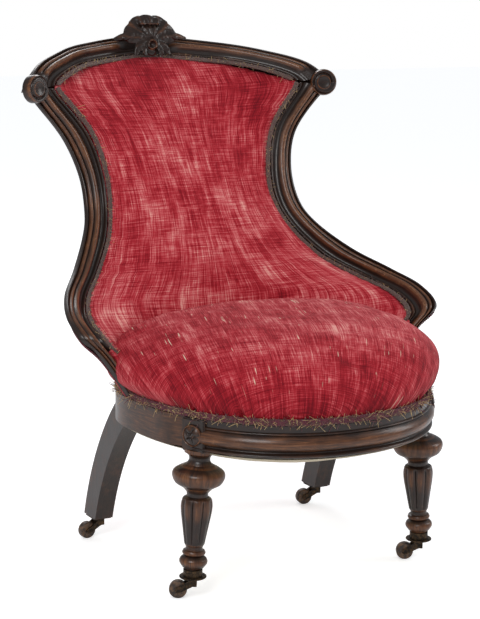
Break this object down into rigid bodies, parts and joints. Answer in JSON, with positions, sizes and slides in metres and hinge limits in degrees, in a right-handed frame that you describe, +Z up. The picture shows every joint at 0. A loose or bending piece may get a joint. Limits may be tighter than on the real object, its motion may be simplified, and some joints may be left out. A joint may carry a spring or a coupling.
{
  "type": "balloon back chair",
  "caption": "Low upholstered balloon back chair with a moulded show-wood frame, carved crest, sprung oval seat, turned front legs and raked back legs, all on swivel casters.",
  "frame": {"origin": "on the floor, under the middle of the chair's outer box", "axes": "+Z up, -Y the front of the seat, +X the sitter's left"},
  "size_m": [0.7562, 0.8882, 0.959],
  "materials": {
    "walnut": "dark French-polished walnut, worn to a warmer brown on the edges",
    "beech": "plain unpolished beech",
    "velvet": "worn crimson cotton velvet with a strie weave",
    "velvet_back": "crimson velvet, less worn",
    "gimp": "frayed maroon and gold braid",
    "webbing": "woven jute",
    "hessian": "plain hessian",
    "under_cloth": "pale calico",
    "spring_steel": "dull coppered steel wire",
    "brass": "aged, nearly black brass",
    "caster_wheels": "dark brown pottery"
  },
  "bodies": {
    "chair": {"arm_left": "walnut", "arm_right": "walnut", "back_gimp": "gimp", "back_leg_left": "walnut", "back_leg_right": "walnut", "back_pad": "velvet", "back_seat_rail": "beech", "bottom_cloth": "under_cloth", "caster_cup_front_left": "brass", "caster_cup_front_right": "brass", "caster_pin_back_left": "brass", "caster_pin_back_right": "brass", "caster_pin_front_left": "brass", "caster_pin_front_right": "brass", "caster_plate_back_left": "brass", "caster_plate_back_right": "brass", "caster_plate_screws": "brass", "corner_blocks": "beech", "crest_rail": "walnut", "cresting_carving": "walnut", "front_leg_left": "walnut", "front_leg_right": "walnut", "front_seat_rail": "walnut", "outside_back_cover": "velvet_back", "rosette_left": "walnut", "rosette_right": "walnut", "scroll_left": "walnut", "scroll_right": "walnut", "seat_cushion": "velvet", "seat_gimp": "gimp", "seat_hessian": "hessian", "seat_springs": "spring_steel", "seat_webbing": "webbing", "side_seat_rail_left": "walnut", "side_seat_rail_right": "walnut", "stile_left": "walnut", "stile_right": "walnut"},
    "caster_front_left": {"caster_horn_front_left": "brass", "caster_axle_front_left": "brass"},
    "wheel_front_left": {"caster_wheel_front_left": "caster_wheels"},
    "caster_front_right": {"caster_horn_front_right": "brass", "caster_axle_front_right": "brass"},
    "wheel_front_right": {"caster_wheel_front_right": "caster_wheels"},
    "caster_back_left": {"caster_horn_back_left": "brass", "caster_axle_back_left": "brass"},
    "wheel_back_left": {"caster_wheel_back_left": "caster_wheels"},
    "caster_back_right": {"caster_horn_back_right": "brass", "caster_axle_back_right": "brass"},
    "wheel_back_right": {"caster_wheel_back_right": "caster_wheels"}
  },
  "joints": [
    {"name": "swivel_front_left", "type": "hinge", "parent": "chair", "child": "caster_front_left", "pos_m": [0.23121, -0.28257, 0.03], "axis": [0, 0, 1], "continuous": true},
    {"name": "roll_front_left", "type": "hinge", "parent": "caster_front_left", "child": "wheel_front_left", "pos_m": [0.20934, -0.27045, 0.0155], "axis": [-0.4848, -0.8746, 0], "continuous": true},
    {"name": "swivel_front_right", "type": "hinge", "parent": "chair", "child": "caster_front_right", "pos_m": [-0.23121, -0.28257, 0.03], "axis": [0, 0, 1], "continuous": true},
    {"name": "roll_front_right", "type": "hinge", "parent": "caster_front_right", "child": "wheel_front_right", "pos_m": [-0.25307, -0.27045, 0.0155], "axis": [-0.4848, -0.8746, 0], "continuous": true},
    {"name": "swivel_back_left", "type": "hinge", "parent": "chair", "child": "caster_back_left", "pos_m": [0.238, 0.09408, 0.03], "axis": [0, 0, 1], "continuous": true},
    {"name": "roll_back_left", "type": "hinge", "parent": "caster_back_left", "child": "wheel_back_left", "pos_m": [0.21338, 0.09842, 0.0155], "axis": [-0.1736, -0.9848, 0], "continuous": true},
    {"name": "swivel_back_right", "type": "hinge", "parent": "chair", "child": "caster_back_right", "pos_m": [-0.238, 0.09408, 0.03], "axis": [0, 0, 1], "continuous": true},
    {"name": "roll_back_right", "type": "hinge", "parent": "caster_back_right", "child": "wheel_back_right", "pos_m": [-0.26286, 0.09147, 0.0155], "axis": [0.1045, -0.9945, 0], "continuous": true}
  ]
}
